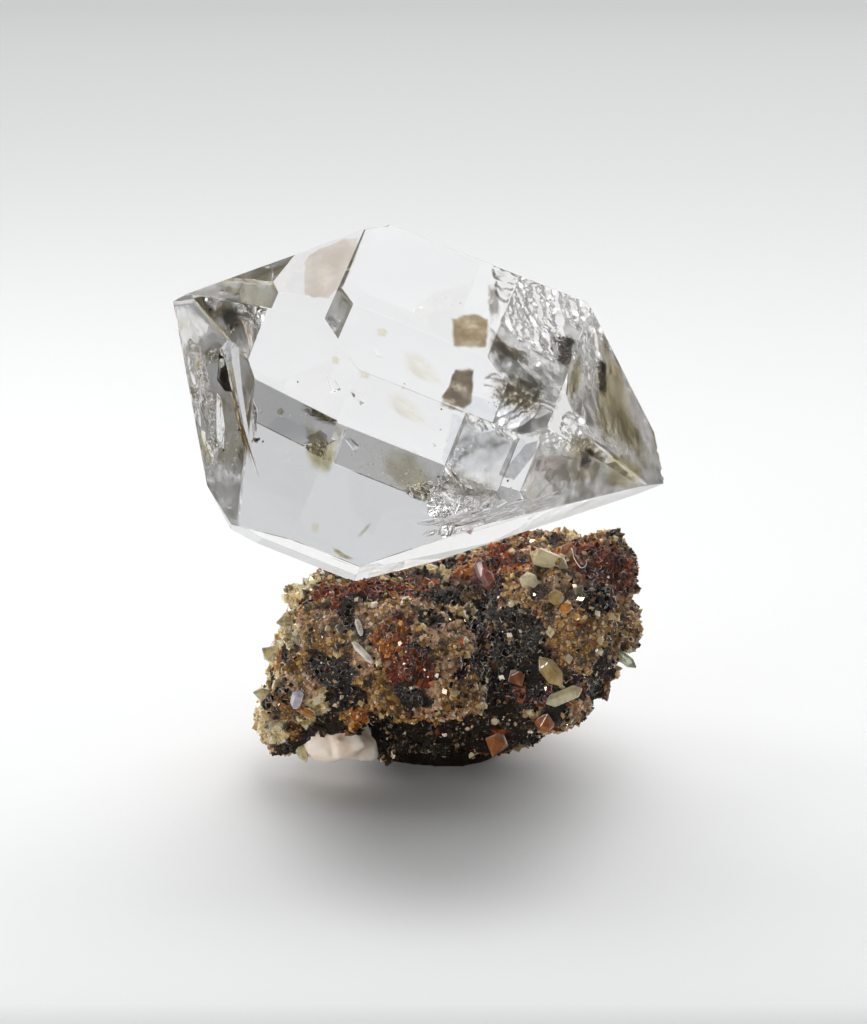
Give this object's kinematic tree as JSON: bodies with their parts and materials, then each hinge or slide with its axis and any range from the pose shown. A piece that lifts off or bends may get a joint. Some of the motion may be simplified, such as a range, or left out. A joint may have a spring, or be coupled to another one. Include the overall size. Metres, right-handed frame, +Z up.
{
  "type": "herkimer diamond on matrix",
  "caption": "Water-clear doubly terminated quartz crystal perched on a lump of drusy dolostone with small coloured crystals, standing on the stone's flat foot.",
  "frame": {"origin": "bottom centre of the specimen's bounding box, on the surface that it stands on", "axes": "+Z up, out of the stone's foot; the quartz crystal's long axis runs mainly along X and dips towards +X; -Y is the front, where most of the small crystals show"},
  "size_m": [0.0286, 0.021, 0.031],
  "materials": {
    "rock_crystal": "water-clear quartz with natural faces, fine etch marks and silvery internal fractures",
    "drusy_dolostone": "rough, sparkling druse of brown, tan, rust-red and black crystals",
    "white_dolomite": "milky white, translucent, pearly cleavage faces",
    "clear_quartz": "clear to faintly cloudy, glassy",
    "honey_crystal": "pale honey yellow to brown, glassy, cloudy inside",
    "green_crystal": "pale grey-green, glassy",
    "orange_crystal": "orange to rust, resinous",
    "red_crystal": "red-brown, iron-stained, glassy",
    "olive_crystal": "yellow-green, translucent"
  },
  "bodies": {
    "root": {"quartz_crystal": "rock_crystal", "matrix_stone": "drusy_dolostone", "white_dolomite": "white_dolomite", "pale_prism": "clear_quartz", "pale_crystal": "clear_quartz", "yellow_crystal": "honey_crystal", "brown_crystal": "honey_crystal", "clear_prism": "clear_quartz", "clear_point": "clear_quartz", "green_prism": "green_crystal", "orange_crystal_top": "orange_crystal", "orange_crystal_recess": "orange_crystal", "orange_crystal_low": "orange_crystal", "orange_crystal_foot": "orange_crystal", "red_prism_left": "red_crystal", "red_prism_right": "red_crystal", "olive_crystal_upper": "olive_crystal", "olive_crystal_middle": "olive_crystal", "olive_crystal_lower": "olive_crystal"}
  },
  "joints": []
}
